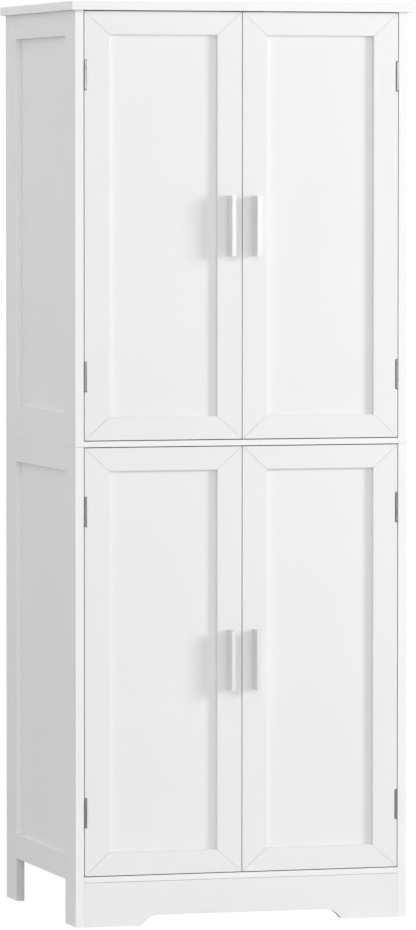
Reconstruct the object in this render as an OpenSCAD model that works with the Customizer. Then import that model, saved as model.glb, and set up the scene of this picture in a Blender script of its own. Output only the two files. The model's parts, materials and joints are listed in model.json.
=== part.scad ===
// Four-door pantry cabinet: two stacked sections with framed sides, inset framed doors on
// butt hinges, adjustable shelves and a shaped kickboard.
// The origin is on the floor at the centre of the outer box, +Z up, doors facing -Y.

/* [Cabinet] */
// Height of the whole cabinet, floor to top face
overall_h = 1600; // [1400:10:1800]
// Width over the two side frames
carcass_w = 600; // [500:10:760]
// Depth of the side frames, front face to back edge
carcass_d = 480; // [380:10:600]
// Height of the lower section, floor to the joint between the two sections
lower_h = 832; // [680:4:980]
// Overhang of the top panel past each side frame
top_side_overhang = 10; // [0:1:30]
// Overhang of the top panel past the front face
top_front_overhang = 16; // [0:1:27]

/* [Boards] */
// Thickness of the top panel, side frames, kickboard and shelves
board_t = 15; // [15:1:19]
// Thickness of the middle and bottom panels
deck_t = 10; // [10:1:18]
// Thickness of the back panels
back_t = 3; // [2:0.5:6]
// Depth of the back panels inside the back edge of the frame
back_recess = 2; // [2:0.5:6]
// Width of the rebate that a back panel or a framed panel laps
lap_w = 8; // [5:0.5:12]
// Play left around a panel in its rebate
lap_clearance = 0.5; // [0.2:0.1:1]

/* [Side frames] */
// Width of the front and rear stiles, seen from the side
side_stile_w = 70; // [65:1:90]
// Height of the side rails
side_rail_h = 43; // [40:1:60]
// Height of the rail that stands on the joint between the sections
joint_rail_h = 57; // [50:1:80]
// Thickness of the recessed side panels
side_panel_t = 5; // [3:0.5:6]

/* [Kickboard] */
// Height of the kickboard, floor to the underside of the bottom panel
kick_h = 77; // [60:1:120]
// Flat length of each kickboard foot
foot_l = 99; // [60:1:140]
// Height of the cut-out between the feet
arch_h = 18; // [12:1:30]
// Radius where the cut-out runs into its level top
arch_r = 34; // [15:1:40]
// Radius where a foot turns into the slope of the cut-out
foot_r = 8; // [2:1:10]

/* [Doors] */
// Thickness of the door frames
door_t = 15; // [15:1:19]
// Gap around and between the doors
door_gap = 1.5; // [1.2:0.1:2.5]
// Width of the door stiles
door_stile_w = 44; // [40:1:70]
// Height of the door rails
door_rail_h = 40; // [36:1:70]
// Thickness of the recessed door panels
door_panel_t = 5; // [3:0.5:6]

/* [Handles] */
// Length of a handle
handle_l = 105; // [90:1:200]
// Width of a handle, seen from the front
handle_w = 7; // [7:0.5:12]
// Distance that a handle stands out from the door
handle_out = 28; // [24:1:40]
// Distance of the finger groove's centre from the door
groove_out = 13; // [12:0.5:14]
// Width of the finger groove
groove_w = 8; // [6:0.5:8]
// Depth of the finger groove
groove_depth = 1.5; // [0.5:0.1:2]
// Spacing of the two handle screws
handle_screw_spacing = 64; // [48:16:80]
// Radius of a handle screw
handle_screw_r = 2; // [1.5:0.5:2]

/* [Hinges] */
// Length of a hinge
hinge_l = 50; // [40:5:60]
// Distance from a door's end to the centre of its hinge
hinge_inset = 110; // [70:5:160]
// Outer radius of the hinge barrel
barrel_r = 2.5; // [2:0.25:3]
// Distance of the barrel's axis behind the front face
barrel_setback = 0.75; // [0:0.25:1]
// Thickness of a hinge leaf
leaf_t = 1; // [0.8:0.1:1.2]
// Width of a hinge leaf from the barrel's axis
leaf_w = 13.5; // [12:0.5:14]
// Number of knuckles in a barrel
knuckle_count = 5; // [3:2:7]
// Clearance between hinge pieces that pass each other
hinge_clearance = 0.3; // [0.2:0.05:0.4]
// Radius of the hinge pin
pin_r = 1; // [0.8:0.1:1.2]
// Radial clearance of the pin in the door's knuckles
pin_clearance = 0.05; // [0.02:0.01:0.1]

/* [Shelves] */
// Distance of a shelf's front edge behind the front face
shelf_setback = 34; // [34:1:60]
// Play between a shelf and each side
shelf_play = 1; // [0.5:0.5:3]
// Distance of the shelf pins from the front face and from the back edge
shelf_pin_y = 44; // [40:1:52]
// Spacing of the shelf pin holes
hole_pitch = 32; // [25:1:40]
// Radius of a shelf pin
shelf_pin_r = 2.5; // [2:0.5:3]

/* [Catches] */
// Size of a magnetic catch across the door
catch_w = 42; // [36:1:50]
// Size of a magnetic catch front to back
catch_d = 14; // [12:1:18]
// Height of a magnetic catch
catch_h = 12; // [10:1:14]
// Distance of a catch's centre from the middle of the cabinet
catch_x = 60; // [40:1:100]
// Thickness of the strike plate on the door
strike_t = 1.2; // [0.8:0.1:2]

/* [Fittings] */
// Radius of the large wooden dowels
dowel_r = 4; // [3:0.5:4]
// Radius of the dowels in the thin panels and the kickboard
small_dowel_r = 3; // [2.5:0.5:3]
// Length of a dowel
dowel_l = 30; // [24:1:30]
// Radius of a cam lock
cam_r = 7.5; // [6:0.5:7.5]
// Distance from the joint face to the centre of a cam lock
cam_reach = 24; // [20:1:30]
// Radius of a cam bolt
cam_bolt_r = 3; // [2.5:0.5:3]
// Depth that a cam bolt is screwed in
cam_bolt_depth = 11; // [9:0.5:11]
// Radius of the small wood screws' shanks
screw_r = 1.4; // [1.2:0.1:1.6]

/* [Hidden] */
$fn = 48;
lower = 0;
upper = 1;
sections = [lower, upper];
small = 0.01;
shelf_count = 2;

proud = max(handle_out, top_front_overhang);
front_y = proud - (carcass_d + proud) / 2;
under_top = overall_h - board_t;
inner_w = carcass_w - 2 * board_t;
inner_x = inner_w / 2;
back_y = carcass_d - back_recess;
deck_d = back_y - back_t;

function post_z(s) = s == lower ? 0 : lower_h;
function ceiling_z(s) = s == lower ? lower_h : under_top;
function deck_z(s) = s == lower ? kick_h : lower_h;
function deck_top(s) = deck_z(s) + deck_t;
function foot_rail_h(s) = s == lower ? side_rail_h : joint_rail_h;
function head_rail_z(s) = ceiling_z(s) - side_rail_h;
function recess_z(s) = deck_z(s) + foot_rail_h(s);
function recess_h(s) = head_rail_z(s) - recess_z(s);
function rail_dowel_z(s) = [deck_z(s) + foot_rail_h(s) / 2, head_rail_z(s) + side_rail_h / 2];

door_w = (inner_w - 3 * door_gap) / 2;
function door_z(s) = deck_top(s) + door_gap;
function door_h(s) = ceiling_z(s) - door_gap - door_z(s);

axis_from_post = barrel_r + hinge_clearance;
axis_in_door = axis_from_post - door_gap;
notch_half = hinge_l / 2 + 1.5;
notch_past = 1;
knuckle_l = hinge_l / knuckle_count;
pin_head_r = barrel_r - 0.5;
pin_head_t = 0.8;
hinge_screw_z = 15;
hinge_screw_y = 8;
hinge_screw_head_r = 2.5;
hinge_screw_l = 12;
function hinge_heights(s) = [hinge_inset, door_h(s) - hinge_inset];

function bay_h(s) = (ceiling_z(s) - deck_top(s) - shelf_count * board_t) / (shelf_count + 1);
function shelf_z(s, i) = deck_top(s) + bay_h(s) * (i + 1) + board_t * i;
function pin_z(s, i) = shelf_z(s, i) - shelf_pin_r;
shelf_numbers = [0 : shelf_count - 1];
shelf_pin_in = 8;
shelf_pin_out = 8;
shelf_pin_hole = 9;
shelf_pin_flat_w = 8;
shelf_pin_collar_r = shelf_pin_r + 1.5;
shelf_pin_collar_t = 1.2;

handle_x = door_w - door_stile_w / 2;
handle_bore = 7;
handle_head_r = 4;
handle_head_t = 2.4;
screw_play = 0.2;

strike_w = 30;
strike_h = 11;
strike_x = door_w + door_gap / 2 - catch_x;
strike_drop = 6;
strike_play = 0.05;
strike_screw_head_r = 2.4;
strike_screw_l = 11;
catch_screw_x = 15;
catch_screw_y = catch_d / 2;
catch_screw_head_r = 2.6;
catch_screw_head_t = 1.8;
catch_screw_in = 8;
catch_y = door_t + strike_t + hinge_clearance;
magnet_w = 16;
magnet_d = 6;
magnet_h = 8;

post_mid = board_t / 2;
top_dowel_y = 16;
top_cam_y = 38;
deck_cam_y = 35;
deck_dowel_y = 58;
joint_dowel_y = [20, 48];
kick_dowel_z = [28, 56];
cam_depth_top = 12;
cam_wall = 0.5;
cam_depth_deck = deck_t / 2 + cam_bolt_r + cam_wall;
back_screw_in = 4;
back_screw_inset = 40;
back_screw_head_r = 2.8;
back_screw_head_t = 1.4;
back_screw_r = 1.25;
back_screw_l = 14;

// ---- Placing. Every piece is drawn with y measured back from the front face, on the left. ----

module in_place() {
    translate([0, front_y, 0]) children();
}

module on_right() {
    mirror([1, 0, 0]) children();
}

module on_both_sides() {
    children();
    on_right() children();
}

// Turns a front corner's fittings into the rear corner's.
module at_rear() {
    translate([0, carcass_d, 0]) mirror([0, 1, 0]) children();
}

module at_front_and_rear() {
    children();
    at_rear() children();
}

// Puts x = 0 on the outer face of the left side frame, x inwards.
module from_left_face() {
    translate([-carcass_w / 2, 0, 0]) children();
}

// Puts the origin on the hinge edge of a left door, at its lower end.
module at_door(s) {
    translate([-inner_x + door_gap, 0, door_z(s)]) children();
}

// Repeats at both hinges of a left door, with the origin on the barrel's axis.
module at_hinges(s) {
    for (z = hinge_heights(s))
        translate([-inner_x + axis_from_post, barrel_setback, door_z(s) + z]) children();
}

module rod_x(r, l) {
    rotate([0, 90, 0]) cylinder(r = r, h = l);
}

module rod_y(r, l) {
    rotate([-90, 0, 0]) cylinder(r = r, h = l);
}

// ---- Dowels and cam fittings of the left front corner ----

module top_dowel() {
    from_left_face() translate([post_mid, top_dowel_y, under_top - dowel_l * 2 / 3])
        cylinder(r = dowel_r, h = dowel_l);
}

module joint_dowels() {
    for (y = joint_dowel_y)
        from_left_face() translate([post_mid, y, lower_h - dowel_l / 2]) cylinder(r = dowel_r, h = dowel_l);
}

module rail_dowels(s) {
    for (z = rail_dowel_z(s))
        from_left_face() translate([post_mid, side_stile_w - dowel_l / 2, z]) rod_y(dowel_r, dowel_l);
}

module deck_dowel(s) {
    from_left_face() translate([board_t - cam_bolt_depth, deck_dowel_y, deck_z(s) + deck_t / 2])
        rod_x(small_dowel_r, 2 * cam_bolt_depth);
}

module kick_dowels() {
    for (z = kick_dowel_z)
        from_left_face() translate([board_t - cam_bolt_depth, board_t / 2, z])
            rod_x(small_dowel_r, 2 * cam_bolt_depth);
}

module top_cam_seat() {
    from_left_face() translate([board_t - cam_depth_top, top_cam_y, under_top - cam_reach])
        rod_x(cam_r, cam_depth_top);
}

module top_cam_bolt() {
    from_left_face() translate([post_mid, top_cam_y, under_top - cam_reach])
        cylinder(r = cam_bolt_r, h = cam_reach + cam_bolt_depth);
}

module deck_cam_seat(s) {
    from_left_face() translate([board_t + cam_reach, deck_cam_y, deck_z(s)])
        cylinder(r = cam_r, h = cam_depth_deck);
}

module deck_cam_bolt(s) {
    from_left_face() translate([board_t - cam_bolt_depth, deck_cam_y, deck_z(s) + deck_t / 2])
        rod_x(cam_bolt_r, cam_bolt_depth + cam_reach);
}

// ---- Screws ----

// Countersunk wood screw along +X: its head's flat end at x = 0.
module flat_screw(head_r, head_t, length, play = 0) {
    rotate([0, 90, 0]) cylinder(r1 = head_r + play, r2 = screw_r + play, h = head_t);
    translate([head_t - small, 0, 0]) rod_x(screw_r + play, length - head_t + small);
}

// Pan-head screw along +Y: the underside of its head at y = 0.
module pan_screw(head_r, head_t, shank_r, length) {
    translate([0, -head_t, 0]) rod_y(head_r, head_t);
    translate([0, -small, 0]) rod_y(shank_r, length + small);
}

module at_hinge_screws() {
    for (z = [-hinge_screw_z, hinge_screw_z])
        translate([0, hinge_screw_y, z]) children();
}

// Screws of one hinge, drawn from its axis: into the post, and into the door's edge.
module post_leaf_screws() {
    at_hinge_screws() translate([leaf_t - axis_from_post, 0, 0]) mirror([1, 0, 0])
        flat_screw(hinge_screw_head_r, leaf_t, hinge_screw_l);
}

module door_leaf_screws() {
    at_hinge_screws() translate([-axis_in_door, 0, 0])
        flat_screw(hinge_screw_head_r, leaf_t, hinge_screw_l);
}

// ---- Hinges ----

function knuckle_low(i) = -hinge_l / 2 + knuckle_l * i;

module knuckles(first) {
    for (i = [first : 2 : knuckle_count - 1])
        translate([0, 0, knuckle_low(i) + hinge_clearance / 2])
            cylinder(r = barrel_r, h = knuckle_l - hinge_clearance);
}

module knuckle_room(first) {
    for (i = [first : 2 : knuckle_count - 1])
        translate([0, 0, knuckle_low(i) - hinge_clearance / 2])
            cylinder(r = barrel_r + hinge_clearance, h = knuckle_l + hinge_clearance);
}

module leaf_plate(x) {
    translate([x, 0, -hinge_l / 2]) cube([leaf_t, leaf_w, hinge_l]);
}

module frame_leaf() {
    color("silver") difference() {
        union() {
            knuckles(0);
            leaf_plate(-axis_from_post);
        }
        knuckle_room(1);
        translate([0, 0, -hinge_l]) cylinder(r = pin_r, h = 2 * hinge_l);
        post_leaf_screws();
    }
}

module door_leaf() {
    color("silver") difference() {
        union() {
            knuckles(1);
            leaf_plate(-axis_in_door);
        }
        knuckle_room(0);
        translate([0, 0, -hinge_l]) cylinder(r = pin_r + pin_clearance, h = 2 * hinge_l);
        door_leaf_screws();
    }
}

module hinge_pin() {
    color("gray") {
        translate([0, 0, -hinge_l / 2]) cylinder(r = pin_r, h = hinge_l);
        for (z = [-hinge_l / 2 + hinge_clearance / 2 - pin_head_t, hinge_l / 2 - hinge_clearance / 2])
            translate([0, 0, z]) cylinder(r = pin_head_r, h = pin_head_t);
    }
}

// ---- Carcass ----

module top_panel() {
    color("white") in_place() difference() {
        translate([-carcass_w / 2 - top_side_overhang, -top_front_overhang, under_top])
            cube([carcass_w + 2 * top_side_overhang, carcass_d + top_front_overhang, board_t]);
        on_both_sides() at_front_and_rear() {
            top_dowel();
            top_cam_bolt();
        }
        on_both_sides() catch_screws(upper);
    }
}

module deck(s) {
    color("white") in_place() difference() {
        translate([-inner_x, 0, deck_z(s)]) cube([inner_w, deck_d, deck_t]);
        on_both_sides() at_front_and_rear() {
            deck_dowel(s);
            deck_cam_bolt(s);
            deck_cam_seat(s);
        }
        if (s == upper) on_both_sides() catch_screws(lower);
        deck_back_screws(s);
    }
}

module middle_panel() {
    deck(upper);
}

module bottom_panel() {
    deck(lower);
}

slope_turn = 45;
foot_steps = 10;
arch_steps = 16;
function arc_points(cx, cz, r, from, to, steps) =
    [for (i = [0 : steps]) let (a = from + (to - from) * i / steps) [cx + r * cos(a), cz + r * sin(a)]];

// Left half of the cut-out, from the end of the foot to the start of the level top.
function arch_side() =
    let (foot_end = -inner_x + foot_l,
         slope_h = arch_h - (arch_r + foot_r) * (1 - cos(slope_turn)),
         top_start = foot_end + (foot_r + arch_r) * sin(slope_turn) + slope_h)
    concat(arc_points(foot_end, foot_r, foot_r, -90, -90 + slope_turn, foot_steps),
           arc_points(top_start, arch_h - arch_r, arch_r, 90 + slope_turn, 90, arch_steps));

module kickboard() {
    side = arch_side();
    other_side = [for (i = [len(side) - 1 : -1 : 0]) [-side[i][0], side[i][1]]];
    color("white") in_place() difference() {
        translate([0, board_t, 0]) rotate([90, 0, 0]) linear_extrude(board_t)
            polygon(concat([[-inner_x, kick_h], [-inner_x, 0]], side, other_side,
                           [[inner_x, 0], [inner_x, kick_h]]));
        on_both_sides() kick_dowels();
    }
}

module side_panel_room(s) {
    from_left_face() translate([board_t - side_panel_t, side_stile_w - lap_w, recess_z(s) - lap_w])
        cube([side_panel_t + small, carcass_d - 2 * (side_stile_w - lap_w), recess_h(s) + 2 * lap_w]);
}

module shelf_pin_holes(s) {
    for (i = shelf_numbers)
        for (step = [-1 : 1])
            from_left_face()
                translate([board_t - shelf_pin_hole, shelf_pin_y, pin_z(s, i) + step * hole_pitch])
                    rod_x(shelf_pin_r, shelf_pin_hole + small);
}

// Fittings that every stile has at its two ends and along its edge.
module stile_fittings(s) {
    joint_dowels();
    rail_dowels(s);
    deck_dowel(s);
    deck_cam_bolt(s);
    shelf_pin_holes(s);
    if (s == upper) {
        top_dowel();
        top_cam_seat();
        top_cam_bolt();
    }
}

module stile_blank(s) {
    from_left_face() translate([0, 0, post_z(s)]) cube([board_t, side_stile_w, ceiling_z(s) - post_z(s)]);
}

module front_stile(s) {
    color("white") in_place() difference() {
        stile_blank(s);
        side_panel_room(s);
        stile_fittings(s);
        at_hinges(s) post_leaf_screws();
        if (s == lower) kick_dowels();
    }
}

module rear_stile(s) {
    color("white") in_place() difference() {
        at_rear() stile_blank(s);
        side_panel_room(s);
        at_rear() stile_fittings(s);
        back_panel_room(s);
        side_back_screws(s);
    }
}

module side_rails(s) {
    color("white") in_place() difference() {
        from_left_face() translate([0, side_stile_w, 0]) {
            translate([0, 0, deck_z(s)])
                cube([board_t, carcass_d - 2 * side_stile_w, foot_rail_h(s)]);
            translate([0, 0, head_rail_z(s)])
                cube([board_t, carcass_d - 2 * side_stile_w, side_rail_h]);
        }
        side_panel_room(s);
        at_front_and_rear() rail_dowels(s);
    }
}

module side_panel(s) {
    in_y = side_stile_w - lap_w + lap_clearance;
    color("white") in_place() from_left_face()
        translate([board_t - side_panel_t, in_y, recess_z(s) - lap_w + lap_clearance])
            cube([side_panel_t, carcass_d - 2 * in_y, recess_h(s) + 2 * (lap_w - lap_clearance)]);
}

// ---- Back ----

module back_panel_room(s) {
    translate([-inner_x - lap_w, deck_d, deck_z(s)])
        cube([inner_w + 2 * lap_w, back_t + back_recess + small, ceiling_z(s) - deck_z(s) + small]);
}

function back_side_heights(s) =
    let (low = deck_z(s) + back_screw_inset, high = ceiling_z(s) - back_screw_inset)
    [for (i = [0 : 3]) low + (high - low) * i / 3];

module side_back_screws(s) {
    for (z = back_side_heights(s)) back_screw(-inner_x - back_screw_in, z);
}

module deck_back_screws(s) {
    for (x = [-inner_w / 3, 0, inner_w / 3]) back_screw(x, deck_z(s) + deck_t / 2);
}

module back_screw(x, z) {
    translate([x, back_y, z]) mirror([0, 1, 0])
        pan_screw(back_screw_head_r, back_screw_head_t, back_screw_r, back_screw_l);
}

module back_panel(s) {
    half_w = inner_x + lap_w - lap_clearance;
    color("white") in_place() difference() {
        translate([-half_w, deck_d, deck_z(s)])
            cube([2 * half_w, back_t, ceiling_z(s) - deck_z(s) - lap_clearance]);
        on_both_sides() side_back_screws(s);
        deck_back_screws(s);
    }
}

module upper_back_panel() {
    back_panel(upper);
}

module lower_back_panel() {
    back_panel(lower);
}

module back_screws() {
    color("silver") in_place() for (s = sections) {
        on_both_sides() side_back_screws(s);
        deck_back_screws(s);
    }
}

// ---- Shelves ----

module shelf(s, i) {
    color("white") in_place() translate([-inner_x + shelf_play, shelf_setback, shelf_z(s, i)])
        cube([inner_w - 2 * shelf_play, deck_d - shelf_play - shelf_setback, board_t]);
}

module shelf_pin(s, i) {
    from_left_face() translate([board_t, shelf_pin_y, pin_z(s, i)]) {
        translate([-shelf_pin_in, 0, 0]) rod_x(shelf_pin_r, shelf_pin_in + shelf_pin_out);
        translate([0, -shelf_pin_flat_w / 2, 0]) cube([shelf_pin_out, shelf_pin_flat_w, shelf_pin_r]);
        rod_x(shelf_pin_collar_r, shelf_pin_collar_t);
    }
}

module shelf_pins() {
    color("silver") in_place() for (s = sections)
        for (i = shelf_numbers)
            on_both_sides() at_front_and_rear() difference() {
                shelf_pin(s, i);
                translate([-carcass_w / 2, 0, shelf_z(s, i)]) cube([carcass_w, carcass_d, board_t]);
            }
}

// ---- Frame-side hardware ----

module hinge_frame_leaves() {
    in_place() on_both_sides() for (s = sections) at_hinges(s) frame_leaf();
}

module hinge_pins() {
    in_place() on_both_sides() for (s = sections) at_hinges(s) hinge_pin();
}

// Screws of the left catch, up through it into the board above.
module catch_screws(s) {
    for (x = [-catch_screw_x, catch_screw_x])
        translate([-catch_x + x, catch_y + catch_screw_y, ceiling_z(s) - catch_h])
            rotate([0, -90, 0])
                flat_screw(catch_screw_head_r, catch_screw_head_t, catch_h + catch_screw_in);
}

module frame_screws() {
    color("silver") in_place() on_both_sides() for (s = sections) {
        at_hinges(s) post_leaf_screws();
        catch_screws(s);
    }
}

module magnet(s) {
    translate([-catch_x - magnet_w / 2, catch_y, ceiling_z(s) - catch_h / 2 - magnet_h / 2])
        cube([magnet_w, magnet_d, magnet_h]);
}

module magnetic_catches() {
    color("white") in_place() on_both_sides() for (s = sections) difference() {
        translate([-catch_x - catch_w / 2, catch_y, ceiling_z(s) - catch_h])
            cube([catch_w, catch_d, catch_h]);
        magnet(s);
        catch_screws(s);
    }
}

module catch_magnets() {
    color("dimgray") in_place() on_both_sides() for (s = sections) magnet(s);
}

module dowels() {
    color("burlywood") in_place() on_both_sides() {
        at_front_and_rear() {
            top_dowel();
            joint_dowels();
            for (s = sections) {
                rail_dowels(s);
                deck_dowel(s);
            }
        }
        kick_dowels();
    }
}

module cam_bolts() {
    color("silver") in_place() on_both_sides() at_front_and_rear() {
        top_cam_bolt();
        for (s = sections) deck_cam_bolt(s);
    }
}

module cam_locks() {
    color("gray") in_place() on_both_sides() at_front_and_rear() {
        difference() {
            top_cam_seat();
            top_cam_bolt();
        }
        for (s = sections) difference() {
            deck_cam_seat(s);
            deck_cam_bolt(s);
        }
    }
}

// ---- Doors, drawn as left doors ----

// Both stiles or both rails: quarters of the frame cut on the lines from its corners.
module door_stile_shape(h) {
    polygon([[0, 0], [door_stile_w, door_rail_h], [door_stile_w, h - door_rail_h], [0, h]]);
}

module door_rail_shape() {
    polygon([[0, 0], [door_w, 0], [door_w - door_stile_w, door_rail_h], [door_stile_w, door_rail_h]]);
}

module door_slab() {
    translate([0, door_t, 0]) rotate([90, 0, 0]) linear_extrude(door_t) children();
}

module door_panel_room(s) {
    in_x = door_stile_w - lap_w;
    in_z = door_rail_h - lap_w;
    translate([in_x, door_t - door_panel_t, in_z])
        cube([door_w - 2 * in_x, door_panel_t + small, door_h(s) - 2 * in_z]);
}

module at_handle_screws(s) {
    for (z = [-handle_screw_spacing / 2, handle_screw_spacing / 2])
        translate([handle_x, 0, door_h(s) / 2 + z]) children();
}

module handle_screw() {
    translate([0, door_t, 0]) mirror([0, 1, 0])
        pan_screw(handle_head_r, handle_head_t, handle_screw_r, door_t + handle_bore);
}

// Notch for the barrel and seat for the leaf, drawn from the hinge's axis.
module hinge_cut() {
    translate([-axis_in_door - notch_past, -barrel_setback - notch_past, -notch_half])
        cube([axis_in_door + notch_past + axis_from_post, barrel_setback + notch_past + axis_from_post,
              2 * notch_half]);
    leaf_plate(-axis_in_door);
    door_leaf_screws();
}

module door_stiles(s) {
    color("white") in_place() difference() {
        at_door(s) door_slab() {
            door_stile_shape(door_h(s));
            translate([door_w, 0]) mirror([1, 0]) door_stile_shape(door_h(s));
        }
        at_door(s) door_panel_room(s);
        at_hinges(s) hinge_cut();
        at_door(s) at_handle_screws(s) translate([0, -small, 0])
            rod_y(handle_screw_r + screw_play, door_t + 2 * small);
    }
}

module door_rails(s) {
    color("white") in_place() difference() {
        at_door(s) door_slab() {
            door_rail_shape();
            translate([0, door_h(s)]) mirror([0, 1]) door_rail_shape();
        }
        at_door(s) door_panel_room(s);
        at_door(s) strike_screw(s);
    }
}

module door_panel(s) {
    in_x = door_stile_w - lap_w + lap_clearance;
    in_z = door_rail_h - lap_w + lap_clearance;
    color("white") in_place() at_door(s) translate([in_x, door_t - door_panel_t, in_z])
        cube([door_w - 2 * in_x, door_panel_t, door_h(s) - 2 * in_z]);
}

groove_r = (groove_depth * groove_depth + groove_w * groove_w / 4) / (2 * groove_depth);
groove_x = handle_w / 2 - groove_depth + groove_r;

module handle_section() {
    difference() {
        translate([-handle_w / 2, -handle_out]) square([handle_w, handle_out]);
        for (side = [-1, 1])
            translate([side * groove_x, -groove_out]) circle(r = groove_r, $fn = 96);
    }
}

module handle(s) {
    color("lightgray") in_place() at_door(s) difference() {
        translate([handle_x, 0, (door_h(s) - handle_l) / 2]) linear_extrude(handle_l) handle_section();
        at_handle_screws(s) handle_screw();
    }
}

module hinge_leaves(s) {
    in_place() at_hinges(s) door_leaf();
}

module strike_screw(s, play = 0) {
    translate([strike_x, door_t + strike_t, door_h(s) - strike_drop])
        rotate([0, 0, -90]) flat_screw(strike_screw_head_r, strike_t, strike_screw_l, play);
}

module strike_plate(s) {
    difference() {
        translate([strike_x - strike_w / 2, door_t, door_h(s) - strike_drop - strike_h / 2])
            cube([strike_w, strike_t, strike_h]);
        strike_screw(s, strike_play);
    }
}

module door_fixings(s) {
    color("silver") in_place() {
        at_door(s) {
            at_handle_screws(s) handle_screw();
            strike_plate(s);
            strike_screw(s);
        }
        at_hinges(s) door_leaf_screws();
    }
}

// ---- Named pieces ----

module left_upper_front_stile() front_stile(upper);
module left_upper_rear_stile() rear_stile(upper);
module left_upper_side_rails() side_rails(upper);
module left_upper_side_panel() side_panel(upper);
module left_lower_front_stile() front_stile(lower);
module left_lower_rear_stile() rear_stile(lower);
module left_lower_side_rails() side_rails(lower);
module left_lower_side_panel() side_panel(lower);
module right_upper_front_stile() on_right() front_stile(upper);
module right_upper_rear_stile() on_right() rear_stile(upper);
module right_upper_side_rails() on_right() side_rails(upper);
module right_upper_side_panel() on_right() side_panel(upper);
module right_lower_front_stile() on_right() front_stile(lower);
module right_lower_rear_stile() on_right() rear_stile(lower);
module right_lower_side_rails() on_right() side_rails(lower);
module right_lower_side_panel() on_right() side_panel(lower);
module upper_high_shelf() shelf(upper, 1);
module upper_low_shelf() shelf(upper, 0);
module lower_high_shelf() shelf(lower, 1);
module lower_low_shelf() shelf(lower, 0);
module upper_left_door_stiles() door_stiles(upper);
module upper_left_door_rails() door_rails(upper);
module upper_left_door_panel() door_panel(upper);
module upper_left_handle() handle(upper);
module upper_left_hinge_leaves() hinge_leaves(upper);
module upper_left_door_fixings() door_fixings(upper);
module upper_right_door_stiles() on_right() door_stiles(upper);
module upper_right_door_rails() on_right() door_rails(upper);
module upper_right_door_panel() on_right() door_panel(upper);
module upper_right_handle() on_right() handle(upper);
module upper_right_hinge_leaves() on_right() hinge_leaves(upper);
module upper_right_door_fixings() on_right() door_fixings(upper);
module lower_left_door_stiles() door_stiles(lower);
module lower_left_door_rails() door_rails(lower);
module lower_left_door_panel() door_panel(lower);
module lower_left_handle() handle(lower);
module lower_left_hinge_leaves() hinge_leaves(lower);
module lower_left_door_fixings() door_fixings(lower);
module lower_right_door_stiles() on_right() door_stiles(lower);
module lower_right_door_rails() on_right() door_rails(lower);
module lower_right_door_panel() on_right() door_panel(lower);
module lower_right_handle() on_right() handle(lower);
module lower_right_hinge_leaves() on_right() hinge_leaves(lower);
module lower_right_door_fixings() on_right() door_fixings(lower);

top_panel();
middle_panel();
bottom_panel();
kickboard();
upper_back_panel();
lower_back_panel();
left_upper_front_stile();
left_upper_rear_stile();
left_upper_side_rails();
left_upper_side_panel();
left_lower_front_stile();
left_lower_rear_stile();
left_lower_side_rails();
left_lower_side_panel();
right_upper_front_stile();
right_upper_rear_stile();
right_upper_side_rails();
right_upper_side_panel();
right_lower_front_stile();
right_lower_rear_stile();
right_lower_side_rails();
right_lower_side_panel();
upper_high_shelf();
upper_low_shelf();
lower_high_shelf();
lower_low_shelf();
shelf_pins();
hinge_frame_leaves();
hinge_pins();
frame_screws();
magnetic_catches();
catch_magnets();
dowels();
cam_bolts();
cam_locks();
back_screws();
upper_left_door_stiles();
upper_left_door_rails();
upper_left_door_panel();
upper_left_handle();
upper_left_hinge_leaves();
upper_left_door_fixings();
upper_right_door_stiles();
upper_right_door_rails();
upper_right_door_panel();
upper_right_handle();
upper_right_hinge_leaves();
upper_right_door_fixings();
lower_left_door_stiles();
lower_left_door_rails();
lower_left_door_panel();
lower_left_handle();
lower_left_hinge_leaves();
lower_left_door_fixings();
lower_right_door_stiles();
lower_right_door_rails();
lower_right_door_panel();
lower_right_handle();
lower_right_hinge_leaves();
lower_right_door_fixings();
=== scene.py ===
"""Looks of a four-door pantry cabinet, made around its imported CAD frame, with its studio stage."""
import json
import math

import bmesh
import bpy
from mathutils import Matrix, Vector

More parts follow.
